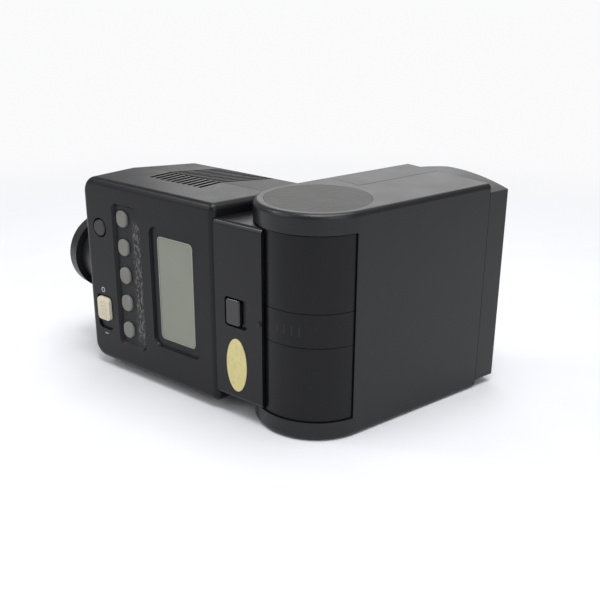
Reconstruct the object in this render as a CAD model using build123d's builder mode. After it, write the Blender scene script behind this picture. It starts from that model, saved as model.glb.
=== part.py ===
from build123d import *
import os
from math import cos, radians, sin, tan

# A speedlight flash whose head swivels and tilts, lying on its side.
# X runs from the foot to the top of the head, Y from the control panel to the light, Z across the width.
# Every sub-part is one STEP file in parts/. All sizes are in millimetres.

os.makedirs("parts", exist_ok=True)

# Driving dimensions
foot_to_top = 127.5     # underside of the shoe foot to the top face of the head
head_width = 75.6
head_r = 20.5           # half the thickness of the head, and the radius of its ears
head_reach = 67.5       # hinge axis to the front of the head
shell_reach = 58.0      # hinge axis to the joint with the front frame
body_width = 70.0
body_length = 65.0      # along the control panel
body_depth = 43.0       # behind the control panel
body_lean = radians(13.3)
parting = 24.3          # control panel to the joint of the two body shells
foot_cut = 12.0         # how much shorter the body is at its front, at the foot end
foot_cut_start = 22.0
neck_width = 61.6
wall = 2.4
panel_r = 20.4          # hinge axis to the plane of the control panel
seat_drop = 21.3        # hinge axis to the top of the body
edge_r = 2.4
corner_r = 6.0
play = 0.3              # running gap between casings that turn past each other
pin_play = 0.05         # radial clearance of a pin in its bore
joint_gap = 0.15        # gap between casings of one body

# Places that follow from them
mid = head_width / 2
hinge_x = foot_to_top / 2 - head_r
lean_c, lean_s, lean_t = cos(body_lean), sin(body_lean), tan(body_lean)
neck_end_a = (-seat_drop - panel_r * lean_s) / lean_c
corner_a = neck_end_a - body_length + edge_r
rear_reach = edge_r - corner_a * lean_s + (panel_r - edge_r) * lean_c
hinge_y = (rear_reach - head_reach) / 2
panel_x = hinge_x + panel_r * lean_s + neck_end_a * lean_c
panel_y = hinge_y - panel_r * lean_c + neck_end_a * lean_s
along = (lean_c, lean_s, 0)
into = (-lean_s, lean_c, 0)
outward = (lean_s, -lean_c, 0)


def level(height):
    """Plane square to Z, centred on the hinge axis."""
    return Plane(origin=(hinge_x, hinge_y, height))


def slanted(height):
    """The same, but x runs along the control panel from its neck end and y into the body."""
    return Plane(origin=(panel_x, panel_y, height), x_dir=along, z_dir=(0, 0, 1))


def panel(depth=0.0):
    """Plane of the control panel, depth behind its face: x along the panel, y across it."""
    at = (panel_x + depth * into[0], panel_y + depth * into[1], mid)
    return Plane(origin=at, x_dir=along, z_dir=outward)


def across(reach):
    """Plane square to Y, reach in front of the hinge axis: x along Z, y along X."""
    return Plane(origin=(hinge_x, hinge_y + reach, mid), x_dir=(0, 0, 1), z_dir=(0, 1, 0))


def upright(height, reach=0.0):
    """Plane square to X, height above the hinge axis: x along Y, y along Z."""
    return Plane(origin=(hinge_x + height, hinge_y + reach, mid), x_dir=(0, 1, 0), z_dir=(1, 0, 0))


def save(part, name):
    part.label = name
    export_step(part, f"parts/{name}.step")


# ---- Body casing -------------------------------------------------------------------------------

side_top = mid + body_width / 2
side_bottom = mid - body_width / 2
body_outline = [
    (-body_length, 0),
    (0, 0),
    (body_depth * lean_t, body_depth),
    (foot_cut - body_length, body_depth),
    (-body_length, foot_cut_start),
]


def body_block():
    """The whole body as one rounded block, from which both shells and the door are cut."""
    cut_dir = Vector(foot_cut, body_depth - foot_cut_start, 0)
    cut_axis = (cut_dir.X * lean_c - cut_dir.Y * lean_s, cut_dir.X * lean_s + cut_dir.Y * lean_c, 0)
    with BuildPart() as block:
        with BuildSketch(slanted(side_bottom)):
            with BuildLine():
                Polyline(*body_outline, close=True)
            make_face()
        extrude(amount=body_width)
        foot_edges = block.edges().filter_by(Axis((0, 0, 0), into))
        foot_edges += block.edges().filter_by(Axis((0, 0, 0), cut_axis))
        fillet(foot_edges, corner_r)
        fillet(block.edges().filter_by(Axis.Y), edge_r)
        rear_face = block.faces().sort_by(Axis((0, 0, 0), outward))[-1]
        fillet(rear_face.edges(), edge_r)
        front_face = block.faces().sort_by(Axis((0, 0, 0), outward))[0]
        fillet(front_face.edges(), edge_r + 0.6)
    return block.part


def body_hollow():
    """The space inside the body's walls."""
    with BuildPart() as hollow:
        with BuildSketch(slanted(side_bottom + wall)):
            with BuildLine():
                Polyline(*body_outline, close=True)
            make_face()
            offset(amount=-wall, kind=Kind.INTERSECTION)
        extrude(amount=body_width - 2 * wall)
    return hollow.part


block = body_block()
hollow = body_hollow()
parting_plane = panel(parting)
door_floor = side_top - wall

# Swivel, on the axis X through the middle of the neck
swivel_y = -7.8
swivel_r = 7.0
cable_r = 4.5
spindle_drop = 5.2

# Controls on the panel, measured from its neck end and from the middle of its width
lcd_x, lcd_z = -18.9, 0.5
lcd_length, lcd_width = 16.8, 37.8
lcd_frame = 3.2
lcd_corner = 1.8
lcd_sink = 1.0
keys_x, keys_z = -45.0, 1.0
key_count, key_pitch = 5, 10.55
key_length, key_width, key_corner = 5.4, 6.2, 2.5
key_proud = 0.9
channel_length, channel_width, channel_sink = 14.6, 53.6, 1.2
channel_x = -42.2
test_x, test_z, test_r = -56.6, 17.0, 3.0
switch_x, switch_z = -56.8, -14.2
switch_length, switch_width, switch_travel = 6.6, 9.0, 3.0
hole_play = 0.2

# Thumb ribs across the joint of rear shell and door
rib_count, rib_pitch, rib_groove, rib_sink = 10, 2.66, 1.5, 1.3
rib_first_x = -44.0
rib_start = 13.8
rib_end = 41.0
rib_sweep = 10.4


def rib_grooves(top):
    """Grooves across the body's side, straight on the rear shell and swept towards the neck beyond it."""
    with BuildPart() as grooves:
        for number in range(rib_count):
            x0 = rib_first_x + number * rib_pitch
            with BuildSketch(slanted(top - rib_sink)):
                with BuildLine():
                    Polyline(
                        (x0, rib_start),
                        (x0 + rib_groove, rib_start),
                        (x0 + rib_groove, parting),
                        (x0 + rib_groove + rib_sweep, rib_end),
                        (x0 + rib_sweep, rib_end),
                        (x0, parting),
                        close=True,
                    )
                make_face()
            extrude(amount=rib_sink + 1)
    return grooves.part


grooves = rib_grooves(side_top)

with BuildPart() as rear_shell:
    add(block)
    split(bisect_by=parting_plane, keep=Keep.TOP)
    add(hollow, mode=Mode.SUBTRACT)
    add(grooves, mode=Mode.SUBTRACT)
    with BuildSketch(panel()):
        with Locations((lcd_x, lcd_z)):
            RectangleRounded(lcd_length + 2 * lcd_frame, lcd_width + 2 * lcd_frame, 3)
    extrude(amount=-lcd_sink, mode=Mode.SUBTRACT, taper=20)
    with BuildSketch(panel()):
        with Locations((lcd_x, lcd_z)):
            RectangleRounded(lcd_length + 2 * joint_gap, lcd_width + 2 * joint_gap, lcd_corner)
    extrude(amount=-wall - 1, mode=Mode.SUBTRACT)
    with BuildSketch(panel()):
        with Locations((channel_x, keys_z - 0.4)):
            RectangleRounded(channel_length, channel_width, 2.4)
    extrude(amount=-channel_sink, mode=Mode.SUBTRACT, taper=35)
    with BuildSketch(panel()):
        for number in range(key_count):
            with Locations((keys_x, keys_z + (number - 2) * key_pitch)):
                RectangleRounded(key_length + 2 * hole_play, key_width + 2 * hole_play, key_corner)
    extrude(amount=-wall - 1, mode=Mode.SUBTRACT)
    with BuildSketch(panel()):
        with Locations((test_x, test_z)):
            Circle(test_r + 0.6)
    extrude(amount=-0.9, mode=Mode.SUBTRACT, taper=30)
    with BuildSketch(panel()):
        with Locations((test_x, test_z)):
            Circle(test_r + hole_play)
    extrude(amount=-wall - 1, mode=Mode.SUBTRACT)
    with BuildSketch(panel()):
        with Locations((switch_x, switch_z - switch_travel / 2)):
            RectangleRounded(switch_length + 1.6, switch_width + switch_travel + 1.6, 2)
    extrude(amount=-0.8, mode=Mode.SUBTRACT)
    with BuildSketch(panel()):
        with Locations((switch_x, switch_z - switch_travel / 2)):
            Rectangle(3.0, switch_width + switch_travel - 4)
    extrude(amount=-wall - 1, mode=Mode.SUBTRACT)
    with BuildSketch(upright(-seat_drop, swivel_y)):
        Circle(swivel_r + pin_play)
    extrude(amount=-wall - 2, mode=Mode.SUBTRACT)

# Side door over the battery room, on a bar along its front edge; door and bar slide before it opens
knuckle_r = wall / 2
bar_r = 0.6
bar_n = body_depth - knuckle_r
bar_z = body_width / 2 - wall - 2 * knuckle_r
bar_end = 8.0
door_knuckles = [(-42.0, -30.0), (-16.0, -4.0)]
shell_lugs = [(-29.7, -22.3), (-3.7, bar_end + 0.4)]
lug_cuts = [(-30.0, -16.0), (-4.0, bar_end + 8)]


def lengthwise(at_x, depth, height):
    """Plane square to the body's length: x along Z, y out of the panel."""
    at = slanted(mid + height).from_local_coords((at_x, depth, 0))
    return Plane(origin=at, x_dir=(0, 0, 1), z_dir=along)


def prism(points, bottom, top):
    """An outline given along the panel and into the body, raised between two heights above the middle."""
    with BuildPart() as solid:
        with BuildSketch(slanted(mid + bottom)):
            with BuildLine():
                Polyline(*points, close=True)
            make_face()
        extrude(amount=top - bottom)
    return solid.part


def room(first_x, last_x, first_n, last_n, bottom, top):
    """A box measured along the panel, into the body and above the middle."""
    points = [(first_x, first_n), (last_x, first_n), (last_x, last_n), (first_x, last_n)]
    return prism(points, bottom, top)


def bar(first_x, last_x, radius):
    """A round bar on the door's hinge line."""
    with BuildPart() as solid:
        with BuildSketch(lengthwise(first_x, bar_n, bar_z)):
            Circle(radius)
        extrude(amount=last_x - first_x)
    return solid.part


def post(at_x, at_z, first_n, last_n, radius):
    """A round post square to the panel."""
    with BuildPart() as solid:
        with BuildSketch(panel(first_n)):
            with Locations((at_x, at_z)):
                Circle(radius)
        extrude(amount=first_n - last_n)
    return solid.part


half_room = body_width / 2 - wall
screw_places = [(-57.0, 29.2), (-57.0, -29.2), (-30.0, -29.2), (-2.5, -29.2)]
screw_r, screw_head_r, boss_r = 1.1, 2.1, 2.6
screw_seat = 29.0

with BuildPart() as battery_door:
    add(block)
    split(bisect_by=panel(parting + joint_gap), keep=Keep.BOTTOM)
    add(room(-80, 30, 0, body_depth - wall, -40, half_room), mode=Mode.SUBTRACT)
    add(room(-80, 30, 0, body_depth + 5, -40, bar_z), mode=Mode.SUBTRACT)
    add(grooves, mode=Mode.SUBTRACT)
    for first_x, last_x in lug_cuts:
        add(bar(first_x, last_x, knuckle_r + play), mode=Mode.SUBTRACT)
    for first_x, last_x in door_knuckles:
        add(bar(first_x, last_x, knuckle_r))
    add(bar(-80, 30, bar_r + pin_play), mode=Mode.SUBTRACT)
save(battery_door.part, "battery_door")

door_hinge_bar = bar(door_knuckles[0][0], bar_end, bar_r)
save(door_hinge_bar, "door_hinge_bar")

with BuildPart() as front_shell:
    add(block)
    split(bisect_by=panel(parting + joint_gap), keep=Keep.BOTTOM)
    add(hollow, mode=Mode.SUBTRACT)
    add(room(-80, 30, 0, body_depth + 5, half_room - play, 40), mode=Mode.SUBTRACT)
    add(room(-80, 30, body_depth - wall - play, body_depth + 5, bar_z - knuckle_r - play, 40), mode=Mode.SUBTRACT)
    for first_x, last_x in shell_lugs:
        add(bar(first_x, last_x, knuckle_r))
        add(room(first_x, last_x, body_depth - wall, bar_n, bar_z - 4, bar_z))
    add(bar(-80, bar_end + 0.1, bar_r + pin_play), mode=Mode.SUBTRACT)
    for at_x, at_z in screw_places:
        add(post(at_x, at_z, parting + joint_gap, body_depth, boss_r) & block)
        add(post(at_x, at_z, 0, body_depth + 5, screw_r + 0.1), mode=Mode.SUBTRACT)
        add(post(at_x, at_z, screw_seat, body_depth + 5, screw_head_r + 0.15), mode=Mode.SUBTRACT)
    with BuildSketch(upright(-seat_drop, swivel_y)):
        Circle(swivel_r + pin_play)
    extrude(amount=-wall - 2, mode=Mode.SUBTRACT)
save(front_shell.part, "front_shell")

with BuildPart() as rear_shell_bossed:
    add(rear_shell.part)
    for at_x, at_z in screw_places:
        web_end = half_room + 1 if at_z > 0 else -half_room - 1
        add(post(at_x, at_z, 11, parting, boss_r))
        add(room(at_x - 0.7, at_x + 0.7, 11, parting, min(at_z, web_end), max(at_z, web_end)))
        add(post(at_x, at_z, 14, parting + 1, screw_r), mode=Mode.SUBTRACT)
save(rear_shell_bossed.part, "rear_shell")

with BuildPart() as shell_screws:
    for at_x, at_z in screw_places:
        add(post(at_x, at_z, 14.2, screw_seat, screw_r - 0.05))
        add(post(at_x, at_z, screw_seat, screw_seat + 1.5, screw_head_r))
save(shell_screws.part, "shell_screws")

# ---- Inside the body ---------------------------------------------------------------------------

with BuildPart() as lcd_window:
    with BuildSketch(panel(lcd_sink)):
        with Locations((lcd_x, lcd_z)):
            RectangleRounded(lcd_length, lcd_width, lcd_corner - joint_gap)
    extrude(amount=-1.3)
save(lcd_window.part, "lcd_window")

with BuildPart() as lcd_module:
    add(room(lcd_x - lcd_length / 2 - 1, lcd_x + lcd_length / 2 + 1, wall + 0.2, 6.6,
             lcd_z - lcd_width / 2 - 2, lcd_z + lcd_width / 2 + 2))
save(lcd_module.part, "lcd_module")

board_n = 7.0
with BuildPart() as main_board:
    add(room(-61.5, -3.5, board_n, board_n + 1.6, -32, 32))
    for number in range(4):
        add(room(-55 + 13 * number, -46 + 13 * number, board_n + 1.5, board_n + 3.4, 4, 16))
save(main_board.part, "main_board")

mat_n = 4.6
with BuildPart() as keypad_mat:
    add(room(keys_x - 4.5, keys_x + 4.5, mat_n + 1.2, board_n - 0.1, keys_z - 26, keys_z + 26))
    for number in range(key_count):
        add(post(keys_x, keys_z + (number - 2) * key_pitch, mat_n + 0.9, mat_n + 1.3, 2.4))
    add(post(test_x, test_z, mat_n + 0.9, board_n - 0.1, 2.4))
    add(room(test_x - 1, keys_x, mat_n + 1.6, board_n - 0.1, test_z - 1, test_z + 1))
save(keypad_mat.part, "keypad_mat")

for number in range(key_count):
    key_z = keys_z + (2 - number) * key_pitch
    with BuildPart() as key:
        with BuildSketch(panel(channel_sink - key_proud)):
            with Locations((keys_x, key_z)):
                RectangleRounded(key_length, key_width, key_corner)
        extrude(amount=key_proud - channel_sink - wall - 0.6)
        fillet(key.faces().sort_by(Axis((0, 0, 0), outward))[-1].edges(), 0.6)
        with BuildSketch(panel(wall + 0.6)):
            with Locations((keys_x, key_z)):
                RectangleRounded(key_length + 1.6, key_width + 1.6, key_corner)
        extrude(amount=-0.9)
    save(key.part, f"panel_button_{number + 1}")

with BuildPart() as test_button:
    with BuildSketch(panel(-0.3)):
        with Locations((test_x, test_z)):
            Circle(test_r)
    extrude(amount=-wall - 1.2)
    fillet(test_button.faces().sort_by(Axis((0, 0, 0), outward))[-1].edges(), 0.5)
    with BuildSketch(panel(wall + 0.6)):
        with Locations((test_x, test_z)):
            Circle(test_r + 0.8)
    extrude(amount=-0.9)
save(test_button.part, "test_button")

with BuildPart() as power_switch:
    with BuildSketch(panel(-1.1)):
        with Locations((switch_x, switch_z)):
            RectangleRounded(switch_length, switch_width, 1.6)
    extrude(amount=-1.5)
    fillet(power_switch.faces().sort_by(Axis((0, 0, 0), outward))[-1].edges(), 0.5)
    with BuildSketch(panel(0.3)):
        with Locations((switch_x, switch_z)):
            Rectangle(2.6, 4.4)
    extrude(amount=-wall - 1)
    with BuildSketch(panel(wall + 0.3)):
        with Locations((switch_x, switch_z)):
            Rectangle(5.4, 7)
    extrude(amount=-1.6)
save(power_switch.part, "power_switch")

cell_r, cell_length = 7.25, 49.5
cell_n = body_depth - wall - cell_r - 0.35
cell_first_x = -46.9
cell_pitch = 2 * cell_r + 0.3
cell_bottom = -20.5
tray_top = cell_bottom - 3.9


def cell_axis(number, height):
    """Plane square to Z on the axis of one cell."""
    at = slanted(mid + height).from_local_coords((cell_first_x + number * cell_pitch, cell_n, 0))
    return Plane(origin=at)


with BuildPart() as aa_cells:
    for number in range(4):
        with BuildSketch(cell_axis(number, cell_bottom)):
            Circle(cell_r)
        extrude(amount=cell_length)
        with BuildSketch(cell_axis(number, cell_bottom + cell_length)):
            Circle(2.6)
        extrude(amount=1)
save(aa_cells.part, "aa_cells")

with BuildPart() as battery_tray:
    tray_n = cell_n - cell_r - 0.45
    add(room(-54, -3.4, tray_n - 1.9, tray_n, tray_top - 1.8, 28))
    add(room(-50, 3.4, tray_n - 0.3, body_depth - wall - 0.3, tray_top - 1.8, tray_top))
    split(bisect_by=Plane(origin=(hinge_x - seat_drop - wall - 0.2, 0, 0), z_dir=(1, 0, 0)), keep=Keep.BOTTOM)
save(battery_tray.part, "battery_tray")

with BuildPart() as cell_springs:
    for number in range(4):
        for step in range(5):
            with BuildSketch(cell_axis(number, tray_top + 0.05 + step * 0.75)):
                Circle(4.2 - step * 0.5)
                Circle(3.2 - step * 0.5, mode=Mode.SUBTRACT)
            extrude(amount=0.8)
save(cell_springs.part, "cell_springs")

with BuildPart() as door_contacts:
    for pair in range(2):
        first_x = cell_first_x + 2 * pair * cell_pitch - 0.6
        add(room(first_x, first_x + cell_pitch + 3, cell_n - 4, cell_n + 4, cell_bottom + cell_length + 1.3, half_room - 0.1))
save(door_contacts.part, "door_contacts")

with BuildPart() as inverter_transformer:
    add(room(-44, -30, board_n + 1.7, 22.5, -24, -20))
    add(room(-42, -32, board_n + 2.7, 21.5, -21, -11))
    add(room(-44, -30, board_n + 1.7, 22.5, -12, -8))
save(inverter_transformer.part, "inverter_transformer")

# ---- Foot --------------------------------------------------------------------------------------

foot_y = -24.9
foot_drop = foot_to_top - head_r
shoe_width, shoe_length, shoe_thickness = 18.6, 18.0, 2.0
ring_r = 15.0
ring_bottom, ring_top = -102.6, -97.4
stem_r = 8.0
pin_r, pin_travel = 1.1, 1.5
pin_reach = foot_y + 6.0


def disc(first, last, radius, reach=foot_y, height=0.0):
    """A cylinder along X between two heights below or above the hinge axis."""
    with BuildPart() as solid:
        with BuildSketch(upright(first, reach)):
            with Locations((0, height)):
                Circle(radius)
        extrude(amount=last - first)
    return solid.part


with BuildPart() as foot_block:
    add(disc(ring_top + play, -78, 12.6) - block)
    add(disc(ring_bottom + 1.5, ring_top + 1, stem_r))
    add(disc(ring_bottom, -92, pin_r + pin_play, pin_reach), mode=Mode.SUBTRACT)
foot_pieces = foot_block.part.solids().sort_by(SortBy.VOLUME)[-1]
save(foot_pieces, "foot_block")

with BuildPart() as lock_ring:
    add(disc(ring_bottom, ring_top, ring_r))
    add(disc(ring_bottom - 1, ring_bottom + 1.2, ring_r - 1.5), mode=Mode.SUBTRACT)
    add(disc(ring_bottom, ring_top + 1, stem_r + pin_play), mode=Mode.SUBTRACT)
save(lock_ring.part, "lock_ring")

with BuildPart() as foot_plate:
    with BuildSketch(upright(-foot_drop, foot_y)):
        Rectangle(shoe_length, shoe_width)
    extrude(amount=shoe_thickness)
    with BuildSketch(upright(shoe_thickness - foot_drop, foot_y)):
        Rectangle(shoe_length - 2, 12.2)
    extrude(amount=ring_bottom + 0.8 + foot_drop - shoe_thickness)
    add(disc(ring_bottom - 0.5, ring_bottom + 1.4, stem_r))
    add(disc(-foot_drop - 1, -90, pin_r + pin_play, pin_reach), mode=Mode.SUBTRACT)
    for number in range(4):
        add(disc(-foot_drop - 1, 0.9 - foot_drop, 1.25, foot_y - 6 + 3.4 * (number // 2), 3.2 * (number % 2) - 1.6),
            mode=Mode.SUBTRACT)
    add(disc(-foot_drop - 1, 0.9 - foot_drop, 1.45, foot_y + 1.5), mode=Mode.SUBTRACT)
save(foot_plate.part, "foot_plate")

with BuildPart() as foot_contacts:
    for number in range(4):
        add(disc(-foot_drop, 0.8 - foot_drop, 1.15, foot_y - 6 + 3.4 * (number // 2), 3.2 * (number % 2) - 1.6))
    add(disc(-foot_drop, 0.8 - foot_drop, 1.35, foot_y + 1.5))
save(foot_contacts.part, "foot_contacts")

lock_pin = disc(0.2 - foot_drop, -94, pin_r, pin_reach)
save(lock_pin, "lock_pin")

# ---- Swivelling neck ---------------------------------------------------------------------------

drum_r = 19.9
ring_gap = 0.1
drum_half = neck_width / 2
scale_top, scale_bottom = 5.9, -5.3
neck_bottom = -seat_drop + play
neck_front = 6.0
plate_end = 20.6
trunnion_r = 8.0
ear_inner = drum_half + 0.4
cap_r, cap_thickness = 17.15, 1.5


def ring(bottom, top, radius, inner=0.0):
    """A ring about the hinge axis between two heights above the middle."""
    with BuildPart() as solid:
        with BuildSketch(level(mid + bottom)):
            Circle(radius)
            if inner > 0:
                Circle(inner, mode=Mode.SUBTRACT)
        extrude(amount=top - bottom)
    return solid.part


def box_at(first_x, last_x, first_y, last_y, bottom, top):
    """A box measured from the hinge axis."""
    with BuildPart() as solid:
        with BuildSketch(level(mid + bottom)):
            with Locations(((first_x + last_x) / 2, (first_y + last_y) / 2)):
                Rectangle(last_x - first_x, last_y - first_y)
        extrude(amount=top - bottom)
    return solid.part


plate_top_x = plate_end * lean_c - seat_drop
plate_top_y = plate_end * lean_s + panel_y - hinge_y
heel_x = neck_bottom
heel_y = panel_y - hinge_y + (heel_x + seat_drop) * lean_s / lean_c
tip_in = 1.3
neck_outline = [
    (heel_x, heel_y),
    (plate_top_x, plate_top_y),
    (plate_top_x - 0.3, plate_top_y + tip_in),
    (-9, -14),
    (-9, neck_front),
    (heel_x, neck_front),
]
key_x0, key_x1 = 5.2, 11.2
key_z0, key_z1 = -4.0, 5.0
spindle_end = neck_bottom - spindle_drop

with BuildPart() as neck_shell:
    with BuildSketch(level(mid - drum_half)):
        with BuildLine():
            Polyline(*neck_outline, close=True)
        make_face()
    extrude(amount=neck_width)
    rear_plate = neck_shell.faces().sort_by(Axis((0, 0, 0), outward))[-1]
    fillet(rear_plate.edges().filter_by(Axis((0, 0, 0), along)), 1.8)
    with BuildSketch(level(mid - drum_half + wall)):
        with BuildLine():
            Polyline((-18.6, -22.5), (-6, -19.6), (-6, 4), (-18.6, 4), close=True)
        make_face()
    extrude(amount=neck_width - 2 * wall, mode=Mode.SUBTRACT)
    add(ring(-40, 40, drum_r + ring_gap), mode=Mode.SUBTRACT)
    add(ring(scale_bottom - 0.4, scale_top + 0.4, drum_r + 0.4), mode=Mode.SUBTRACT)
    add(disc(spindle_end, -19, swivel_r, swivel_y) - ring(-40, 40, drum_r + 0.4))
    add(disc(spindle_end - 1, 0, cable_r, swivel_y), mode=Mode.SUBTRACT)
    with BuildSketch(panel()):
        with Locations(((key_x0 + key_x1) / 2 + 1.2, (key_z0 + key_z1) / 2)):
            RectangleRounded(key_x1 - key_x0 + 3.6, key_z1 - key_z0 + 1.2, 1.2)
    extrude(amount=-1.2, mode=Mode.SUBTRACT, taper=20)
    with BuildSketch(panel()):
        with Locations(((key_x0 + key_x1) / 2, (key_z0 + key_z1) / 2)):
            RectangleRounded(key_x1 - key_x0 + 0.4, key_z1 - key_z0 + 0.4, 1.0)
    extrude(amount=-6, mode=Mode.SUBTRACT)
neck_main = neck_shell.part.solids().sort_by(SortBy.VOLUME)[-1]
save(neck_main, "neck_shell")

with BuildPart() as lock_button:
    with BuildSketch(panel(-0.2)):
        with Locations(((key_x0 + key_x1) / 2, (key_z0 + key_z1) / 2)):
            RectangleRounded(key_x1 - key_x0, key_z1 - key_z0, 0.9)
    extrude(amount=-4.6)
    fillet(lock_button.faces().sort_by(Axis((0, 0, 0), outward))[-1].edges(), 0.5)
    with BuildSketch(panel(3.4)):
        with Locations(((key_x0 + key_x1) / 2, (key_z0 + key_z1) / 2)):
            Rectangle(key_x1 - key_x0 + 1.2, key_z1 - key_z0 + 1.8)
    extrude(amount=-1.0)
save(lock_button.part, "lock_button")

with BuildPart() as neck_label:
    with BuildSketch(panel(-0.25)):
        with Locations((9.6, -17.9)):
            Ellipse(4.4, 9.5)
    extrude(amount=-0.25)
save(neck_label.part, "neck_label")

with BuildPart() as drum_upper:
    add(ring(scale_top + 0.2, drum_half, drum_r, drum_r - 2.2))
    add(ring(drum_half - 2, drum_half, drum_r))
    add(ring(drum_half - 1, mid - cap_thickness - play, trunnion_r))
    add(ring(drum_half - 5, mid + 1, 4.5), mode=Mode.SUBTRACT)
save(drum_upper.part, "drum_upper")

with BuildPart() as drum_lower:
    add(ring(-drum_half, scale_bottom - 0.2, drum_r, drum_r - 2.2))
    add(ring(-drum_half, 2 - drum_half, drum_r))
    add(ring(cap_thickness + play - mid, 1 - drum_half, trunnion_r))
    add(ring(-mid - 1, 5 - drum_half, 4.5), mode=Mode.SUBTRACT)
save(drum_lower.part, "drum_lower")

capacitor_r = 15.0
capacitor_half = drum_half - 4.8
with BuildPart() as main_capacitor:
    add(ring(-capacitor_half, capacitor_half, capacitor_r))
    fillet(main_capacitor.edges().filter_by(GeomType.CIRCLE), 1)
    add(ring(capacitor_half - 1, drum_half - 2.3, 4.0))
save(main_capacitor.part, "main_capacitor")

with BuildPart() as capacitor_cradle:
    add(ring(10, 14, drum_r - 2.4, capacitor_r + 0.2))
    add(ring(-14, -10, drum_r - 2.4, capacitor_r + 0.2))
save(capacitor_cradle.part, "capacitor_cradles")

with BuildPart() as swivel_retainer:
    add(disc(-seat_drop - wall - play - 1.3, -seat_drop - wall - play, swivel_r + 1.6, swivel_y))
    add(disc(-40, 0, swivel_r + 0.05, swivel_y), mode=Mode.SUBTRACT)
save(swivel_retainer.part, "swivel_retainer")

# ---- Tilting head ------------------------------------------------------------------------------

head_split = -4.35
seam = 0.25
ear_front = 20.9
lip_y = -0.9
recess_r = drum_r + 0.35
toe_r = 22.4
head_wall = 2.2
head_edge_r = 1.7
joint_y = shell_reach


def head_block():
    """The head and its two ears as one block."""
    with BuildPart() as solid:
        with BuildSketch(level(0)):
            with Locations((0, joint_y / 2)):
                Rectangle(2 * head_r, joint_y)
            Circle(head_r)
        extrude(amount=head_width)
        ends = solid.faces().filter_by(Axis.Z)
        rims = ends.edges().filter_by(lambda edge: edge.center().Y < hinge_y + joint_y - 1)
        fillet(rims, head_edge_r)
        inner = ear_inner
        add(box_at(-30, 30, -30, lip_y, -inner, inner), mode=Mode.SUBTRACT)
        add(ring(-inner, inner, recess_r), mode=Mode.SUBTRACT)
        add(ring(-inner, inner, toe_r) & box_at(-30, -12, -30, 30, -40, 40), mode=Mode.SUBTRACT)
    return solid.part


def head_room():
    """The space inside the head."""
    half = mid - head_wall
    side = head_r - head_wall
    space = box_at(-side, side, 5, joint_y + 1, -half, half)
    return space - ring(-40, 40, toe_r + head_wall)


head_solid = head_block()
head_space = head_room()
boss_places = [(52.5, 33.4), (52.5, -33.4), (28.0, 33.4), (28.0, -33.4)]
lower_part = box_at(-30, head_split, 5, joint_y + 5, -40, 40)
ear_keep = box_at(-30, head_split, 0, ear_front, ear_inner, 40) + box_at(-30, head_split, 0, ear_front, -40, -ear_inner)

with BuildPart() as head_top_shell:
    add(head_solid)
    add(head_space, mode=Mode.SUBTRACT)
    add(lower_part - ear_keep, mode=Mode.SUBTRACT)
    for reach, height in boss_places:
        add(disc(head_split, head_r - 1, 2.0, reach, height))
        add(disc(head_split - 1, 6, 1.05, reach, height), mode=Mode.SUBTRACT)
    add(ring(-50, 50, trunnion_r + pin_play), mode=Mode.SUBTRACT)
    add(ring(mid - cap_thickness - 0.05, mid + 1, cap_r + 0.1), mode=Mode.SUBTRACT)
    add(ring(-mid - 1, cap_thickness + 0.05 - mid, cap_r + 0.1), mode=Mode.SUBTRACT)
head_top = head_top_shell.part.solids().sort_by(SortBy.VOLUME)[-1]
save(head_top, "head_top_shell")

with BuildPart() as head_bottom_shell:
    add(head_solid & (box_at(-30, head_split - seam, 5, joint_y + 5, -40, 40)
                      - box_at(-30, head_split, 0, ear_front + 0.15, ear_inner - 0.15, 40)
                      - box_at(-30, head_split, 0, ear_front + 0.15, -40, 0.15 - ear_inner)))
    add(head_space, mode=Mode.SUBTRACT)
    for reach, height in boss_places:
        add(disc(1 - head_r, head_split - seam, 2.0, reach, height))
        add(disc(-30, 0, 1.1, reach, height), mode=Mode.SUBTRACT)
        add(disc(-30, 1.4 - head_r, 1.95, reach, height), mode=Mode.SUBTRACT)
head_bottom = head_bottom_shell.part.solids().sort_by(SortBy.VOLUME)[-1]
save(head_bottom, "head_bottom_shell")

with BuildPart() as head_screws:
    for reach, height in boss_places:
        add(disc(0.3 - head_r, 1.3 - head_r, 1.8, reach, height))
        add(disc(1.2 - head_r, 5.5, 1.0, reach, height))
save(head_screws.part, "head_screws")

window_low, window_high, window_half = -8.0, 16.5, 32.5
frame_bottom = 1.3 - head_r
with BuildPart() as front_frame:
    with BuildSketch(level(0)):
        with BuildLine():
            Line((frame_bottom, joint_y + joint_gap), (head_r, joint_y + joint_gap))
            Line((head_r, joint_y + joint_gap), (head_r, head_reach))
            Line((head_r, head_reach), (-6.5, head_reach))
            ThreePointArc((-6.5, head_reach), (-12.4, 64), (frame_bottom, joint_y + joint_gap))
        make_face()
    extrude(amount=head_width)
    with BuildSketch(across(joint_y)):
        with BuildLine():
            ThreePointArc((mid - 3.0, head_r), (mid, -1), (mid - 1.8, -head_r))
            Line((mid - 1.8, -head_r), (1.8 - mid, -head_r))
            ThreePointArc((1.8 - mid, -head_r), (-mid, -1), (3.0 - mid, head_r))
            Line((3.0 - mid, head_r), (mid - 3.0, head_r))
        make_face()
    extrude(amount=20, mode=Mode.INTERSECT)
    rim_edges = front_frame.faces().sort_by(Axis.Y)[-1].edges().filter_by(Axis.Y, reverse=True)
    fillet(rim_edges, 0.7)
    add(box_at(window_low - 1.2, head_r - head_wall, 50, head_reach - 4, -33.8, 33.8), mode=Mode.SUBTRACT)
    add(box_at(window_low, window_high, 50, 80, -window_half, window_half), mode=Mode.SUBTRACT)
save(front_frame.part, "front_frame")

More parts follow.
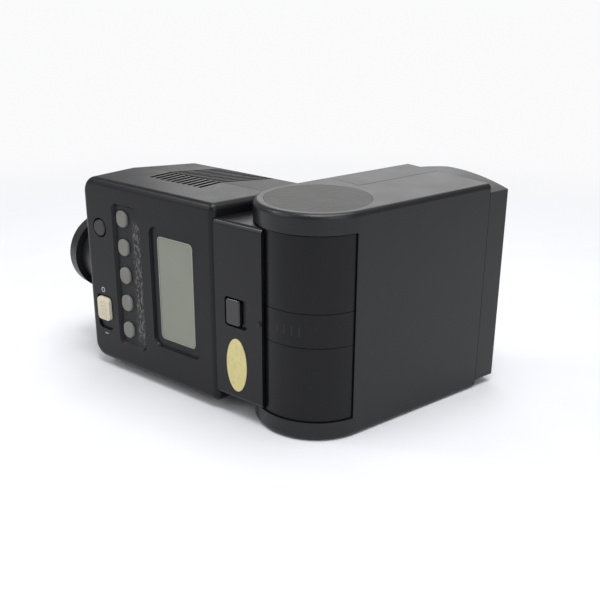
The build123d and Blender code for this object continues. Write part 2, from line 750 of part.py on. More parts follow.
with BuildPart() as fresnel_lens:
    add(box_at(window_low + 0.1, window_high - 0.1, head_reach - 4.2, head_reach - 1.6, 0.1 - window_half,
               window_half - 0.1))
    add(box_at(window_low - 0.9, window_high + 0.9, head_reach - 5.6, head_reach - 4.1, -window_half - 0.9,
               window_half + 0.9))
save(fresnel_lens.part, "fresnel_lens")

hinge_cap_upper = ring(mid - cap_thickness, mid, cap_r)
save(hinge_cap_upper, "hinge_cap_upper")
hinge_cap_lower = ring(-mid, cap_thickness - mid, cap_r)
save(hinge_cap_lower, "hinge_cap_lower")

with BuildPart() as tilt_scale_ring:
    add(ring(scale_bottom, scale_top, drum_r, drum_r - 2.6))
    add(box_at(-6, 6, drum_r - 1, toe_r + 1.5, scale_bottom + 1, scale_top - 1) - ring(-40, 40, drum_r - 1.5)
        - head_solid)
save(tilt_scale_ring.part.solids().sort_by(SortBy.VOLUME)[-1], "tilt_scale_ring")

# ---- Inside the head ---------------------------------------------------------------------------

rod_r, rod_x, rod_z = 1.0, -16.6, 27.5
carriage_y = 27.0


def rod(first_y, last_y, radius, height_x, height_z):
    """A round rod along Y."""
    with BuildPart() as solid:
        with BuildSketch(across(first_y)):
            with Locations((height_z, height_x)):
                Circle(radius)
        extrude(amount=last_y - first_y)
    return solid.part


with BuildPart() as guide_rods:
    add(rod(25, joint_y - 0.2, rod_r, rod_x, rod_z))
    add(rod(25, joint_y - 0.2, rod_r, rod_x, -rod_z))
save(guide_rods.part, "guide_rods")

screw_x, screw_z, lead_r = -15.2, 8.0, 1.0
with BuildPart() as zoom_motor:
    add(rod(24.5, 33.5, 2.6, screw_x, screw_z))
    add(box_at(-18.1, -16.5, 24.5, 33.5, screw_z - 3, screw_z + 3))
    add(rod(32, 34, lead_r + pin_play, screw_x, screw_z), mode=Mode.SUBTRACT)
save(zoom_motor.part, "zoom_motor")

lead_screw = rod(32.2, 58, lead_r, screw_x, screw_z)
save(lead_screw, "lead_screw")

with BuildPart() as zoom_carriage:
    add(box_at(-12.2, -10.8, carriage_y, carriage_y + 12, -30.5, 30.5))
    for side in (1, -1):
        add(box_at(-18.0, -11, carriage_y, carriage_y + 12, side * rod_z - 3, side * rod_z + 3))
        add(rod(20, 70, rod_r + pin_play, rod_x, side * rod_z), mode=Mode.SUBTRACT)
    add(box_at(-18.0, -11, carriage_y + 9.5, carriage_y + 12, screw_z - 3, screw_z + 3))
    add(rod(20, 70, lead_r + pin_play, screw_x, screw_z), mode=Mode.SUBTRACT)
save(zoom_carriage.part, "zoom_carriage")

tube_x, tube_y, tube_r = 1.2, 31.4, 2.0
with BuildPart() as reflector:
    with BuildSketch(level(mid - 29)):
        with BuildLine():
            Polyline((-10.6, carriage_y), (13, carriage_y), (13, 44), (-10.6, 44), close=True)
        make_face()
        with BuildLine():
            Polyline((-9.8, 45), (-7.4, 36.6), (-2.6, 30), (tube_x, 28.3), (5.0, 30), (9.8, 36.6), (12.2, 45),
                     close=True)
        make_face(mode=Mode.SUBTRACT)
    extrude(amount=58)
save(reflector.part, "reflector")

with BuildPart() as flash_tube:
    add(ring(-30.5, 30.5, tube_r).moved(Location((tube_x, tube_y, 0))))
save(flash_tube.part, "flash_tube")

with BuildPart() as tube_boots:
    for side in (1, -1):
        add(ring(min(side * 29.2, side * 31.2), max(side * 29.2, side * 31.2), 3.6, tube_r + 0.05)
            .moved(Location((tube_x, tube_y, 0))))
save(tube_boots.part, "tube_boots")

with BuildPart() as trigger_board:
    add(box_at(16.6, 18.1, 27, 46, -20, 2))
    add(box_at(13.7, 16.7, 29, 39, -16, -8))
save(trigger_board.part, "trigger_board")

print("all parts saved")
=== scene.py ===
"""A speedlight flash lying on its side: finishes, small marks, floor, light and camera. Metres throughout."""

from math import cos, pi, radians, sin

import bpy
from mathutils import Matrix, Vector


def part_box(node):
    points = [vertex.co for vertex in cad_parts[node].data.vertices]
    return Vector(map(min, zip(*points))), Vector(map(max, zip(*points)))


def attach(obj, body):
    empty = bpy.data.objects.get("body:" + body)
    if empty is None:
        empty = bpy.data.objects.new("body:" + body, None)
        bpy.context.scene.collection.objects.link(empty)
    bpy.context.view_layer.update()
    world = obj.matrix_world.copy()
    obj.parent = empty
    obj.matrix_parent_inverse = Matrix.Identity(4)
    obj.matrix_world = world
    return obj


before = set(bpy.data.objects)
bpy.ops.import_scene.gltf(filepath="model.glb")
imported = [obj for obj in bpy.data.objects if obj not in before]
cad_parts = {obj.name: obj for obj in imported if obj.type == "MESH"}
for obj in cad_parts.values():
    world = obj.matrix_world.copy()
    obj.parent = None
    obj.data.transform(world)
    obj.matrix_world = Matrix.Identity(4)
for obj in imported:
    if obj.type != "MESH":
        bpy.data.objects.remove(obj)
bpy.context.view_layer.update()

# Where the two turning axes of the object are, and how its control panel leans
HINGE = Vector((0.04325, -0.01352, 0.0378))
LEAN = radians(13.3)
ALONG = Vector((cos(LEAN), sin(LEAN), 0))
INTO = Vector((-sin(LEAN), cos(LEAN), 0))
PANEL = Vector((0.02195, -0.039516, 0.0378))
DRUM_RADIUS = 0.0199
# Places on the control panel, along and across it, in millimetres
SLIDER = (-56.8, -14.2)
DISPLAY = (-18.9, 0.5)
# The screws under the head: hinge axis to the first pair, and half the space between the two of a pair
SCREW_REACH = 0.028
SCREW_HALF_SPACING = 0.0334


def panel_point(along, across, proud=0.0):
    """A point on the control panel, in millimetres from its neck end and the middle of its width."""
    return PANEL + ALONG * (along / 1000) - INTO * (proud / 1000) + Vector((0, 0, across / 1000))


# ---- Finishes ----------------------------------------------------------------------------------


def new_material(name):
    """A material with its shader, its nodes and its links."""
    material = bpy.data.materials.new(name)
    material.use_nodes = True
    nodes, links = material.node_tree.nodes, material.node_tree.links
    return material, nodes, links, nodes["Principled BSDF"]


def ramp(nodes, links, source, stops):
    """A colour ramp fed by a socket."""
    node = nodes.new("ShaderNodeValToRGB")
    while len(node.color_ramp.elements) < len(stops):
        node.color_ramp.elements.new(0.5)
    for element, (place, colour) in zip(node.color_ramp.elements, stops):
        element.position = place
        element.color = (*colour, 1)
    links.new(source, node.inputs["Fac"])
    return node.outputs["Color"]


def noise(nodes, links, scale, detail=4.0, stretch=(1, 1, 1)):
    """Noise in the piece's own space, with its scale in features per metre."""
    place = nodes.new("ShaderNodeTexCoord")
    drawn = nodes.new("ShaderNodeMapping")
    drawn.inputs["Scale"].default_value = stretch
    links.new(place.outputs["Object"], drawn.inputs["Vector"])
    node = nodes.new("ShaderNodeTexNoise")
    node.inputs["Scale"].default_value = scale
    node.inputs["Detail"].default_value = detail
    links.new(drawn.outputs["Vector"], node.inputs["Vector"])
    return node.outputs["Fac"]


def product(nodes, links, first, second):
    """Two values multiplied."""
    node = nodes.new("ShaderNodeMath")
    node.operation = "MULTIPLY"
    links.new(first, node.inputs[0])
    links.new(second, node.inputs[1])
    return node.outputs[0]


def mottled(nodes, links, source, colour, shade):
    """A colour that drifts between a darker tone and itself."""
    return ramp(nodes, links, source, [(0.3, tuple(c * shade for c in colour)), (0.7, colour)])


def moulded_plastic(
    name, colour, roughness, grain=2600.0, bump=0.12, scuff=0.35, wear=0.04, sheen=0.35, speck_size=900.0,
    coat=0.0,
):
    """Textured casing plastic: fine mould grain, faint handling marks and small pale specks of wear."""
    material, nodes, links, shader = new_material(name)
    marks = noise(nodes, links, 90.0, 6.0)
    low = tuple(c * (1 - scuff * 0.3) for c in colour)
    high = tuple(min(1, c * (1 + scuff * 0.3)) for c in colour)
    base = ramp(nodes, links, marks, [(0.25, low), (0.75, high)])
    fine = noise(nodes, links, grain, 2.0)
    dots = noise(nodes, links, speck_size, 6.0)
    specks = ramp(nodes, links, dots, [(0.70, (0, 0, 0)), (0.80, (1, 1, 1))])
    worn = nodes.new("ShaderNodeMix")
    worn.data_type = "RGBA"
    links.new(specks, worn.inputs[0])
    links.new(base, worn.inputs[6])
    worn.inputs[7].default_value = (*[min(1, c + wear) for c in colour], 1)
    links.new(worn.outputs[2], shader.inputs["Base Color"])
    gloss = nodes.new("ShaderNodeMapRange")
    gloss.inputs["To Min"].default_value = roughness - 0.07
    gloss.inputs["To Max"].default_value = roughness + 0.07
    links.new(marks, gloss.inputs["Value"])
    links.new(gloss.outputs["Result"], shader.inputs["Roughness"])
    relief = nodes.new("ShaderNodeBump")
    relief.inputs["Strength"].default_value = bump
    relief.inputs["Distance"].default_value = 0.0002
    links.new(fine, relief.inputs["Height"])
    links.new(relief.outputs["Normal"], shader.inputs["Normal"])
    shader.inputs["Specular IOR Level"].default_value = sheen
    shader.inputs["Coat Weight"].default_value = coat
    shader.inputs["Coat Roughness"].default_value = 0.16
    return material


def span(nodes, links, value, low, high, soft):
    """1 where a value lies between two limits, fading out over a soft edge."""
    rise = nodes.new("ShaderNodeMapRange")
    fall = nodes.new("ShaderNodeMapRange")
    rise.interpolation_type = fall.interpolation_type = "SMOOTHSTEP"
    for node, first, last in ((rise, low - soft, low + soft), (fall, high + soft, high - soft)):
        node.inputs["From Min"].default_value = first
        node.inputs["From Max"].default_value = last
        links.new(value, node.inputs["Value"])
    return product(nodes, links, rise.outputs[0], fall.outputs[0])


def dusted_plastic(name, colour, roughness):
    """The panel's plastic, with pale dust caught along the neck side of the key channel."""
    material = moulded_plastic(name, colour, roughness, scuff=0.4, sheen=0.22, coat=0.06)
    nodes, links = material.node_tree.nodes, material.node_tree.links
    shader = nodes["Principled BSDF"]
    clean = shader.inputs["Base Color"].links[0].from_socket
    place = nodes.new("ShaderNodeTexCoord").outputs["Object"]
    along = nodes.new("ShaderNodeVectorMath")
    along.operation = "DOT_PRODUCT"
    along.inputs[1].default_value = ALONG
    links.new(place, along.inputs[0])
    start = PANEL.dot(ALONG)
    apart = nodes.new("ShaderNodeSeparateXYZ")
    links.new(place, apart.inputs[0])
    strip = span(nodes, links, along.outputs["Value"], start - 0.0402, start - 0.0366, 0.0010)
    width = span(nodes, links, apart.outputs["Z"], PANEL.z - 0.0235, PANEL.z + 0.0215, 0.003)
    drawn_out = noise(nodes, links, 1500.0, 10.0, (1, 1, 0.45))
    streaks = ramp(nodes, links, drawn_out, [(0.44, (0, 0, 0)), (0.70, (0.9, 0.9, 0.9))])
    dust = product(nodes, links, product(nodes, links, strip, width), streaks)
    laid = nodes.new("ShaderNodeMix")
    laid.data_type = "RGBA"
    links.new(dust, laid.inputs[0])
    links.new(clean, laid.inputs[6])
    laid.inputs[7].default_value = (0.17, 0.17, 0.165, 1)
    links.new(laid.outputs[2], shader.inputs["Base Color"])
    return material


def metal(name, colour, roughness, streaks=900.0):
    """Metal with fine drawn lines and an uneven polish."""
    material, nodes, links, shader = new_material(name)
    fine = noise(nodes, links, streaks, 3.0)
    links.new(mottled(nodes, links, fine, colour, 0.85), shader.inputs["Base Color"])
    shader.inputs["Metallic"].default_value = 1.0
    gloss = nodes.new("ShaderNodeMapRange")
    gloss.inputs["To Min"].default_value = roughness - 0.08
    gloss.inputs["To Max"].default_value = roughness + 0.08
    links.new(fine, gloss.inputs["Value"])
    links.new(gloss.outputs["Result"], shader.inputs["Roughness"])
    return material


def display_glass(name):
    """The switched-off display: grey-green under a clear glossy cover."""
    material, nodes, links, shader = new_material(name)
    drift = noise(nodes, links, 30.0, 2.0)
    tone = ramp(nodes, links, drift, [(0.3, (0.150, 0.162, 0.118)), (0.7, (0.172, 0.185, 0.135))])
    links.new(tone, shader.inputs["Base Color"])
    shader.inputs["Roughness"].default_value = 0.22
    shader.inputs["Coat Weight"].default_value = 0.6
    shader.inputs["Coat Roughness"].default_value = 0.06
    return material


def clear_plastic(name, colour):
    """Pale ribbed light-window plastic."""
    material, nodes, links, shader = new_material(name)
    drift = noise(nodes, links, 120.0, 3.0)
    links.new(mottled(nodes, links, drift, colour, 0.92), shader.inputs["Base Color"])
    shader.inputs["Roughness"].default_value = 0.18
    shader.inputs["Transmission Weight"].default_value = 0.35
    shader.inputs["IOR"].default_value = 1.49
    return material


def foil(name, colour):
    """The bare sticker: satin metallised film with a faint mottling."""
    material, nodes, links, shader = new_material(name)
    drift = noise(nodes, links, 700.0, 4.0)
    links.new(mottled(nodes, links, drift, colour, 0.85), shader.inputs["Base Color"])
    shader.inputs["Metallic"].default_value = 0.35
    shader.inputs["Roughness"].default_value = 0.4
    return material


casing = moulded_plastic("casing_plastic", (0.0066, 0.0070, 0.0082), 0.37, scuff=0.7, sheen=0.34, coat=0.08)
panel_casing = dusted_plastic("panel_plastic", (0.0064, 0.0067, 0.0080), 0.36)
neck_casing = moulded_plastic("neck_plastic", (0.0052, 0.0053, 0.0062), 0.32, sheen=0.26, coat=0.10)
barrel_casing = moulded_plastic(
    "barrel_plastic", (0.0036, 0.0037, 0.0044), 0.32, bump=0.04, sheen=0.22, coat=0.05
)
cap_casing = moulded_plastic(
    "hinge_cap_plastic", (0.011, 0.011, 0.0095), 0.44, scuff=2.6, bump=0.5, grain=420.0
)
door_casing = moulded_plastic("door_plastic", (0.0060, 0.0063, 0.0075), 0.42, scuff=0.6)
ring_casing = moulded_plastic("lock_ring_plastic", (0.008, 0.008, 0.009), 0.38)
key_rubber = moulded_plastic("key_rubber", (0.165, 0.165, 0.150), 0.55, grain=3500.0, wear=0.1)
button_grey = moulded_plastic(
    "test_button_plastic", (0.016, 0.016, 0.017), 0.36, wear=0.30, speck_size=330.0, coat=0.2
)
slider_cream = moulded_plastic("power_slider_plastic", (0.60, 0.54, 0.42), 0.42, wear=0.1, scuff=0.2)
release_black = moulded_plastic("release_button_plastic", (0.005, 0.005, 0.006), 0.22, coat=0.6)
# Black inner plastic; the same material also gives the painted shade of the screw crosses
inner_black_and_painted_shade = moulded_plastic("inner_plastic", (0.03, 0.03, 0.03), 0.6)
board_green = moulded_plastic("board_laminate", (0.02, 0.10, 0.05), 0.4, wear=0.02)
cell_wrap = moulded_plastic("cell_sleeve", (0.12, 0.13, 0.15), 0.3, wear=0.05)
copper_winding = moulded_plastic("transformer_winding", (0.35, 0.16, 0.05), 0.35)
steel = metal("plain_steel", (0.62, 0.62, 0.64), 0.3)
contact_gold = metal("contact_gold", (0.85, 0.62, 0.28), 0.25)
mirror_aluminium = metal("reflector_aluminium", (0.88, 0.88, 0.90), 0.12, 300.0)
capacitor_sleeve = moulded_plastic("capacitor_sleeve", (0.02, 0.02, 0.05), 0.25)
display = display_glass("display_window")
lens_plastic = clear_plastic("lens_plastic", (0.80, 0.82, 0.80))
tube_glass = clear_plastic("tube_glass", (0.85, 0.85, 0.82))
sticker_film = foil("sticker_film", (0.66, 0.58, 0.27))
mark_white = moulded_plastic("mark_paint", (0.55, 0.55, 0.55), 0.5, wear=0.0, scuff=0.1, bump=0.02)

finishes = {
    casing: ["head_top_shell", "head_bottom_shell", "front_frame", "front_shell", "foot_block"],
    door_casing: ["battery_door"],
    panel_casing: ["rear_shell"],
    neck_casing: ["neck_shell"],
    barrel_casing: ["drum_upper", "drum_lower", "tilt_scale_ring"],
    cap_casing: ["hinge_cap_upper", "hinge_cap_lower"],
    ring_casing: ["lock_ring"],
    key_rubber: [f"panel_button_{number}" for number in range(1, 6)] + ["keypad_mat", "tube_boots"],
    button_grey: ["test_button"],
    slider_cream: ["power_switch"],
    release_black: ["lock_button"],
    inner_black_and_painted_shade: ["battery_tray", "capacitor_cradles", "zoom_carriage"],
    board_green: ["main_board", "trigger_board"],
    cell_wrap: ["aa_cells"],
    copper_winding: ["inverter_transformer"],
    steel: ["foot_plate", "lock_pin", "shell_screws", "head_screws", "door_hinge_bar", "cell_springs",
            "guide_rods", "lead_screw", "zoom_motor", "swivel_retainer", "door_contacts"],
    contact_gold: ["foot_contacts"],
    mirror_aluminium: ["reflector"],
    capacitor_sleeve: ["main_capacitor"],
    display: ["lcd_window", "lcd_module"],
    lens_plastic: ["fresnel_lens"],
    tube_glass: ["flash_tube"],
    sticker_film: ["neck_label"],
}
for material, names in finishes.items():
    for name in names:
        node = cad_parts[name]
        node.data.materials.clear()
        node.data.materials.append(material)

# ---- Small marks and grips ---------------------------------------------------------------------


def finished(piece, name, material, body):
    """Names a made piece, gives it its material, and lets it ride on its body."""
    piece.name = name
    piece.data.name = name
    piece.data.materials.clear()
    piece.data.materials.append(material)
    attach(piece, body)
    return piece


def mesh_piece(name, points, faces):
    """A mesh object made of points and faces."""
    mesh = bpy.data.meshes.new(name)
    mesh.from_pydata([tuple(point) for point in points], [], faces)
    mesh.update()
    piece = bpy.data.objects.new(name, mesh)
    bpy.context.scene.collection.objects.link(piece)
    return piece


def letter(text, height, centre, reach, upward, facing):
    """A generic sign in flat solid letters, centred on a point of a surface."""
    curve = bpy.data.curves.new("sign", "FONT")
    curve.body = text
    curve.size = height
    curve.align_x = "CENTER"
    curve.align_y = "CENTER"
    curve.extrude = 0.00002
    holder = bpy.data.objects.new("sign", curve)
    bpy.context.scene.collection.objects.link(holder)
    bpy.context.view_layer.update()
    mesh = bpy.data.meshes.new_from_object(holder.evaluated_get(bpy.context.evaluated_depsgraph_get()))
    bpy.data.objects.remove(holder)
    turn = Matrix((reach, upward, facing)).transposed().to_4x4()
    mesh.transform(Matrix.Translation(centre) @ turn)
    piece = bpy.data.objects.new("sign", mesh)
    bpy.context.scene.collection.objects.link(piece)
    return piece


UP = Vector((0, 0, 1))
# The panel is read with the flash upright, so letters run down the width and stand towards the head.
for name, text, along, across in (("off_mark", "O", -57.2, -6.9), ("on_mark", "I", -57.1, -24.3)):
    sign = letter(text, 0.0026, panel_point(along, across, 0.02), -UP, ALONG, -INTO)
    finished(sign, name, mark_white, "body")


def new_tree(name, sockets):
    """A Geometry Nodes tree with named inputs, each given with its kind, and one for its material."""
    tree = bpy.data.node_groups.new(name, "GeometryNodeTree")
    tree.interface.new_socket("Geometry", in_out="OUTPUT", socket_type="NodeSocketGeometry")
    for title, kind in {**sockets, "Material": "Material"}.items():
        tree.interface.new_socket(title, in_out="INPUT", socket_type="NodeSocket" + kind)
    return tree, tree.nodes, tree.links.new, tree.nodes.new("NodeGroupInput").outputs


def copies_on_points(nodes, link, given, points, shape, turn=None):
    """Ends a tree: a copy of the shape on each point, made real and given the tree's material."""
    copies = nodes.new("GeometryNodeInstanceOnPoints")
    link(points, copies.inputs["Points"])
    link(shape, copies.inputs["Instance"])
    if turn is not None:
        link(turn, copies.inputs["Rotation"])
    real = nodes.new("GeometryNodeRealizeInstances")
    link(copies.outputs["Instances"], real.inputs[0])
    paint = nodes.new("GeometryNodeSetMaterial")
    link(real.outputs[0], paint.inputs["Geometry"])
    link(given["Material"], paint.inputs["Material"])
    link(paint.outputs["Geometry"], nodes.new("NodeGroupOutput").inputs[0])


def from_tree(tree, inputs, place):
    """The plain mesh that a tree makes, moved to its place."""
    holder = mesh_piece("holder", [], [])
    modifier = holder.modifiers.new("nodes", "NODES")
    modifier.node_group = tree
    for item in tree.interface.items_tree:
        if item.in_out == "INPUT" and item.name in inputs:
            modifier[item.identifier] = inputs[item.name]
    bpy.context.view_layer.update()
    mesh = bpy.data.meshes.new_from_object(holder.evaluated_get(bpy.context.evaluated_depsgraph_get()))
    bpy.data.objects.remove(holder)
    mesh.transform(place)
    piece = bpy.data.objects.new("made", mesh)
    bpy.context.scene.collection.objects.link(piece)
    return piece


def scale_ticks(name):
    """Upright marks spaced round a barrel, as a tree."""
    tree, nodes, link, given = new_tree(name, {
        "Count": "Int", "Radius": "Float", "Length": "Float", "Width": "Float", "Thickness": "Float",
        "First angle": "Float", "Step": "Float",
    })
    line = nodes.new("GeometryNodeMeshLine")
    link(given["Count"], line.inputs["Count"])
    number = nodes.new("GeometryNodeInputIndex")
    angle = nodes.new("ShaderNodeMath")
    angle.operation = "MULTIPLY_ADD"
    link(number.outputs[0], angle.inputs[0])
    link(given["Step"], angle.inputs[1])
    link(given["First angle"], angle.inputs[2])
    flat = nodes.new("ShaderNodeCombineXYZ")
    for axis, operation in ((0, "COSINE"), (1, "SINE")):
        wave = nodes.new("ShaderNodeMath")
        wave.operation = operation
        link(angle.outputs[0], wave.inputs[0])
        far = nodes.new("ShaderNodeMath")
        far.operation = "MULTIPLY"
        link(wave.outputs[0], far.inputs[0])
        link(given["Radius"], far.inputs[1])
        link(far.outputs[0], flat.inputs[axis])
    place = nodes.new("GeometryNodeSetPosition")
    link(line.outputs["Mesh"], place.inputs["Geometry"])
    link(flat.outputs[0], place.inputs["Position"])
    tick = nodes.new("GeometryNodeMeshCube")
    shape = nodes.new("ShaderNodeCombineXYZ")
    for axis, size in enumerate(("Thickness", "Width", "Length")):
        link(given[size], shape.inputs[axis])
    link(shape.outputs[0], tick.inputs["Size"])
    turn = nodes.new("ShaderNodeCombineXYZ")
    link(angle.outputs[0], turn.inputs[2])
    copies_on_points(nodes, link, given, place.outputs["Geometry"], tick.outputs["Mesh"], turn.outputs[0])
    return tree


def row_of_ribs(name):
    """A row of equal round-topped ribs, as a tree."""
    tree, nodes, link, given = new_tree(name, {
        "Count": "Int", "Step": "Vector", "Length": "Float", "Radius": "Float", "Turn": "Vector",
    })
    line = nodes.new("GeometryNodeMeshLine")
    link(given["Count"], line.inputs["Count"])
    link(given["Step"], line.inputs["Offset"])
    rib = nodes.new("GeometryNodeMeshCylinder")
    rib.inputs["Vertices"].default_value = 12
    link(given["Radius"], rib.inputs["Radius"])
    link(given["Length"], rib.inputs["Depth"])
    copies_on_points(nodes, link, given, line.outputs["Mesh"], rib.outputs["Mesh"], given["Turn"])
    return tree


def painted_cross_shade(name):
    """A dark cross of painted shade on each screw head, standing in for its shaded cross recess, as a tree:
    two columns of screws, two crossed bars on each.
    """
    tree, nodes, link, given = new_tree(name, {
        "Rows": "Int", "Row Step": "Vector", "Column Step": "Vector", "Bar Size": "Vector",
        "Cross Size": "Vector",
    })
    row = nodes.new("GeometryNodeMeshLine")
    link(given["Rows"], row.inputs["Count"])
    link(given["Row Step"], row.inputs["Offset"])
    second_row = nodes.new("GeometryNodeTransform")
    link(row.outputs["Mesh"], second_row.inputs["Geometry"])
    link(given["Column Step"], second_row.inputs["Translation"])
    places = nodes.new("GeometryNodeJoinGeometry")
    link(row.outputs["Mesh"], places.inputs[0])
    link(second_row.outputs["Geometry"], places.inputs[0])
    cross = nodes.new("GeometryNodeJoinGeometry")
    for size in ("Bar Size", "Cross Size"):
        bar = nodes.new("GeometryNodeMeshCube")
        link(given[size], bar.inputs["Size"])
        link(bar.outputs["Mesh"], cross.inputs[0])
    copies_on_points(nodes, link, given, places.outputs["Geometry"], cross.outputs["Geometry"])
    return tree


tick_paint = moulded_plastic("tick_paint", (0.014, 0.014, 0.014), 0.5, wear=0.0, scuff=0.1, bump=0.02)
ticks = from_tree(
    scale_ticks("tilt_ticks"),
    {"Count": 4, "Radius": DRUM_RADIUS + 0.00002, "Length": 0.0032, "Width": 0.00035, "Thickness": 0.00006,
     "First angle": radians(-77), "Step": radians(7.5), "Material": tick_paint},
    Matrix.Translation(HINGE),
)
finished(ticks, "tilt_marks", tick_paint, "neck")

ribs = row_of_ribs("grip_ribs")
# Fine ribs across the thumb piece of the power slider, one half of the row on each side of its middle
slider_rib_count, slider_rib_pitch = 9, 0.85
first_rib = SLIDER[1] - slider_rib_pitch * (slider_rib_count - 1) / 2
slider_ribs = from_tree(
    ribs,
    {"Count": slider_rib_count, "Step": (0, 0, slider_rib_pitch / 1000), "Length": 0.0034, "Radius": 0.00026,
     "Turn": (0, pi / 2, LEAN), "Material": slider_cream},
    Matrix.Translation(panel_point(SLIDER[0], first_rib, 1.09)),
)
finished(slider_ribs, "power_slider_ribs", slider_cream, "power_switch_body")

# The lens spreads its light with straight ribs along its face
lens_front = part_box("fresnel_lens")[1][1]
lens_ribs = from_tree(
    ribs,
    {"Count": 40, "Step": (0, 0, 0.0016), "Length": 0.0240, "Radius": 0.00045, "Turn": (0, pi / 2, 0),
     "Material": lens_plastic},
    Matrix.Translation(Vector((HINGE.x + 0.00425, lens_front - 0.0001, HINGE.z - 0.0312))),
)
finished(lens_ribs, "lens_ribs", lens_plastic, "head")

# Painted shade: flat dark crosses on the four screws under the head stand in for their cross recesses
screw_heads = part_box("head_screws")[0][0]
screw_cross_shade = from_tree(
    painted_cross_shade("screw_cross_shade"),
    {"Rows": 2, "Row Step": (0, 0, 2 * SCREW_HALF_SPACING), "Column Step": (0, 0.0245, 0),
     "Bar Size": (0.00012, 0.0020, 0.00042), "Cross Size": (0.00012, 0.00042, 0.0020),
     "Material": inner_black_and_painted_shade},
    Matrix.Translation(Vector((screw_heads, HINGE.y + SCREW_REACH, HINGE.z - SCREW_HALF_SPACING))),
)
finished(screw_cross_shade, "head_screw_cross_shade", inner_black_and_painted_shade, "head")


def rounded_loop(half_along, half_across, corner, steps=8):
    """Points round a rectangle with rounded corners, in the panel's own two directions."""
    loop = []
    for quarter, (side_a, side_b) in enumerate(((1, 1), (-1, 1), (-1, -1), (1, -1))):
        for step in range(steps + 1):
            angle = (quarter + step / steps) * pi / 2
            loop.append((side_a * (half_along - corner) + corner * cos(angle),
                         side_b * (half_across - corner) + corner * sin(angle)))
    return loop


def frame_strip(centre, half_along, half_across, corner, width, proud, height):
    """A thin raised strip round a rounded rectangle on the control panel, in millimetres."""
    outer = rounded_loop(half_along, half_across, corner)
    inner = rounded_loop(half_along - width, half_across - width, max(corner - width, 0.1))
    count = len(outer)
    points = []
    for loop, level in ((outer, proud), (outer, proud + height), (inner, proud + height), (inner, proud)):
        points += [panel_point(centre[0] + a, centre[1] + b, level) for a, b in loop]
    faces = []
    for ring in range(4):
        for step in range(count):
            after = (step + 1) % count
            below, above = ring * count, ((ring + 1) % 4) * count
            faces.append((below + step, below + after, above + after, above + step))
    return points, faces


# Painted highlight: a pale glossy strip round the display window stands in for the light caught by the rim of
# its recess
painted_rim_highlight = moulded_plastic("painted_rim_highlight", (0.27, 0.27, 0.25), 0.25, bump=0.02)
strip_points, strip_faces = frame_strip(
    DISPLAY, half_along=8.38, half_across=18.88, corner=1.7, width=0.32, proud=-0.99, height=0.14
)
rim_highlight_strip = mesh_piece("display_rim_highlight", strip_points, strip_faces)
finished(rim_highlight_strip, "display_rim_highlight", painted_rim_highlight, "body")



def domed_bead(centre, half_along, half_across, height, rings=5, around=16):
    """A low oval dome on the panel's plane, closed at its top by one point, in millimetres."""
    sunk = 0.02
    points, faces = [], []
    for level in range(rings):
        rise = level / rings * pi / 2
        for step in range(around):
            angle = step / around * 2 * pi
            points.append(panel_point(
                centre[0] + half_along * cos(rise) * cos(angle),
                centre[1] + half_across * cos(rise) * sin(angle),
                height * sin(rise) - sunk,
            ))
    points.append(panel_point(*centre, height - sunk))
    for step in range(around):
        after = (step + 1) % around
        for low in range(0, (rings - 1) * around, around):
            faces.append((low + step, low + after, low + around + after, low + around + step))
        faces.append(((rings - 1) * around + step, (rings - 1) * around + after, rings * around))
    faces.append(tuple(reversed(range(around))))
    return points, faces


# The index bead at the end of the neck plate, beside the tilt scale
bead_points, bead_faces = domed_bead((19.6, -0.7), half_along=0.8, half_across=1.1, height=0.6)
bead = mesh_piece("index_bead", bead_points, bead_faces)
finished(bead, "index_bead", neck_casing, "neck")

# ---- Floor, light and camera -------------------------------------------------------------------

floor = mesh_piece("floor", [(-9, -9, 0), (9, -9, 0), (9, 9, 0), (-9, 9, 0)], [(0, 1, 2, 3)])
floor_paper, nodes, links, shader = new_material("floor_paper")
shader.inputs["Roughness"].default_value = 0.9
cloud = noise(nodes, links, 40.0, 3.0)
tone = ramp(nodes, links, cloud, [(0.3, (0.66, 0.67, 0.70)), (0.7, (0.68, 0.69, 0.72))])
links.new(tone, shader.inputs["Base Color"])
# Close to the object the paper keeps its shadow; further off, as the camera sees it, the paper gives way to a
# painted glow that fades through a pale grey to white.
place = nodes.new("ShaderNodeTexCoord")
reach = nodes.new("ShaderNodeVectorMath")
reach.operation = "LENGTH"
links.new(place.outputs["Object"], reach.inputs[0])
fade = nodes.new("ShaderNodeMapRange")
fade.interpolation_type = "SMOOTHSTEP"
fade.inputs["From Min"].default_value = 0.10
fade.inputs["From Max"].default_value = 0.42
links.new(reach.outputs["Value"], fade.inputs["Value"])
glow = nodes.new("ShaderNodeEmission")
far_off = nodes.new("ShaderNodeMapRange")
far_off.interpolation_type = "SMOOTHSTEP"
far_off.inputs["From Min"].default_value = 0.15
far_off.inputs["From Max"].default_value = 0.45
links.new(reach.outputs["Value"], far_off.inputs["Value"])
white = ramp(nodes, links, far_off.outputs["Result"], [(0.0, (0.88, 0.885, 0.91)), (1.0, (0.96, 0.96, 0.97))])
links.new(white, glow.inputs["Color"])
path = nodes.new("ShaderNodeLightPath")
seen_or_mirrored = nodes.new("ShaderNodeMath")
seen_or_mirrored.operation = "MAXIMUM"
links.new(path.outputs["Is Camera Ray"], seen_or_mirrored.inputs[0])
links.new(path.outputs["Is Transmission Ray"], seen_or_mirrored.inputs[1])
share = product(nodes, links, fade.outputs["Result"], seen_or_mirrored.outputs[0])
blended = nodes.new("ShaderNodeMixShader")
links.new(share, blended.inputs[0])
links.new(shader.outputs[0], blended.inputs[1])
links.new(glow.outputs[0], blended.inputs[2])
links.new(blended.outputs[0], nodes["Material Output"].inputs["Surface"])
floor.data.materials.append(floor_paper)

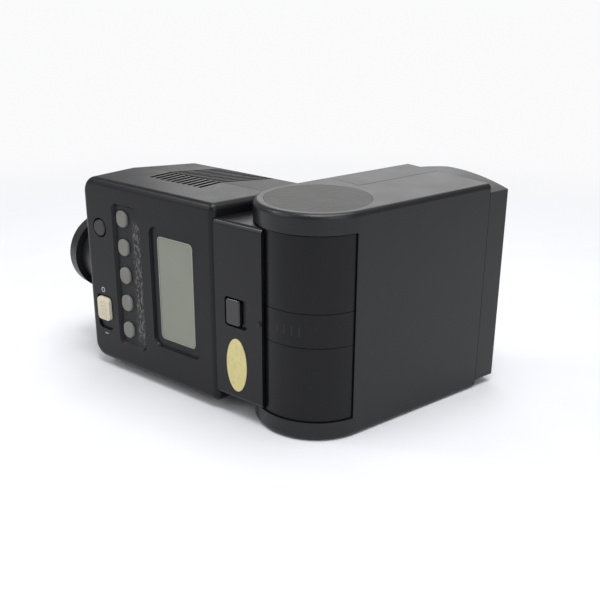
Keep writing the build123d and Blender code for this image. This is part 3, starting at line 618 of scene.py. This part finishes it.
world = bpy.data.worlds.new("studio")
bpy.context.scene.world = world
world.use_nodes = True
nodes, links = world.node_tree.nodes, world.node_tree.links
plain = nodes["Background"]
plain.inputs["Color"].default_value = (1, 1, 1, 1)
plain.inputs["Strength"].default_value = 0.36
seen = nodes.new("ShaderNodeBackground")
seen.inputs["Color"].default_value = (0.96, 0.96, 0.97, 1)
seen.inputs["Strength"].default_value = 1.0
path = nodes.new("ShaderNodeLightPath")
mixed = nodes.new("ShaderNodeMixShader")
links.new(path.outputs["Is Camera Ray"], mixed.inputs[0])
links.new(plain.outputs[0], mixed.inputs[1])
links.new(seen.outputs[0], mixed.inputs[2])
links.new(mixed.outputs[0], nodes["World Output"].inputs["Surface"])


def soft_lamp(name, place, target, width, power):
    """A square soft box aimed at a point."""
    lamp = bpy.data.lights.new(name, "AREA")
    lamp.size = width
    lamp.energy = power
    holder = bpy.data.objects.new(name, lamp)
    holder.location = place
    holder.rotation_euler = (Vector(target) - Vector(place)).to_track_quat("-Z", "Y").to_euler()
    bpy.context.scene.collection.objects.link(holder)


soft_lamp("overhead", (0.15, 0.05, 0.95), (0, 0, 0.03), 0.7, 8)
soft_lamp("far_window", (-0.80, 0.80, 0.58), (0, 0, 0.06), 0.8, 2.6)
soft_lamp("ear_edge_light", (0.30, -0.24, 1.0), (0, 0, 0.05), 0.16, 2.0)
soft_lamp("panel_edge_light", (-0.55, -0.54, 0.82), (0, 0, 0.05), 0.16, 1.6)
soft_lamp("camera_left", (-0.25, -0.80, 0.45), (0, 0, 0.03), 0.6, 2)
soft_lamp("camera_right", (0.85, -0.10, 0.40), (0, 0, 0.03), 0.6, 2)

lens_data = bpy.data.cameras.new("camera")
lens_data.lens = 53.07
lens_data.sensor_width = 36.0
lens_data.shift_x = 0.00167
lens_data.shift_y = -0.00183
lens_data.clip_start = 0.01
camera = bpy.data.objects.new("camera", lens_data)
bpy.context.scene.collection.objects.link(camera)
turn, rise, roll = radians(51.95), radians(20.83), radians(0.36)
ahead = Vector((-sin(turn) * cos(rise), cos(turn) * cos(rise), -sin(rise)))
level_right = Vector((cos(turn), sin(turn), 0))
level_up = level_right.cross(ahead)
right = level_right * cos(roll) + level_up * sin(roll)
over = level_up * cos(roll) - level_right * sin(roll)
camera.matrix_world = Matrix.Translation(HINGE + Vector((0.2096, -0.1714, 0.1067))) @ Matrix(
    (right, over, -ahead)
).transposed().to_4x4()
bpy.context.scene.camera = camera
bpy.context.scene.view_settings.view_transform = "Standard"
